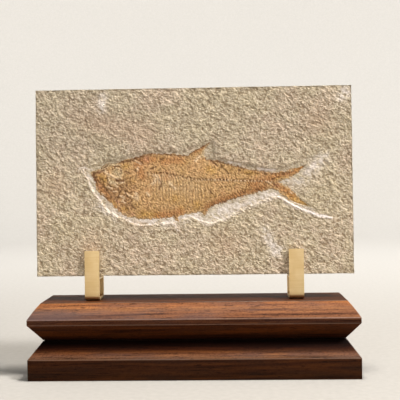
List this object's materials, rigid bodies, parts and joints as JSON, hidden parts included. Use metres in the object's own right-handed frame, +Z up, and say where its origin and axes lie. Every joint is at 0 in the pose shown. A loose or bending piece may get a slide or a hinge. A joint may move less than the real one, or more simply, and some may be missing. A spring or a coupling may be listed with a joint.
{
  "type": "fossil fish slab on a display stand",
  "caption": "A fossil fish in a limestone slab, held upright by brass clips on a two-tier wooden stand for display on a desk or shelf.",
  "frame": {"origin": "under the middle of the plinth, on the surface the stand stands on", "axes": "+X to the viewer's right along the stand, +Y to the back of the slab, +Z up; the fish is seen from -Y"},
  "size_m": [0.21, 0.052, 0.1857],
  "materials": {
    "walnut": "oiled dark brown, satin",
    "satin_brass": "brushed satin",
    "limestone": "split, rough, pale buff limestone",
    "fossil_bone": "matt orange-brown fossil bone"
  },
  "bodies": {
    "root": {"plinth": "walnut", "stand_top": "walnut", "clip_left": "satin_brass", "clip_right": "satin_brass", "slab": "limestone", "fossil_fish": "fossil_bone"}
  },
  "joints": []
}
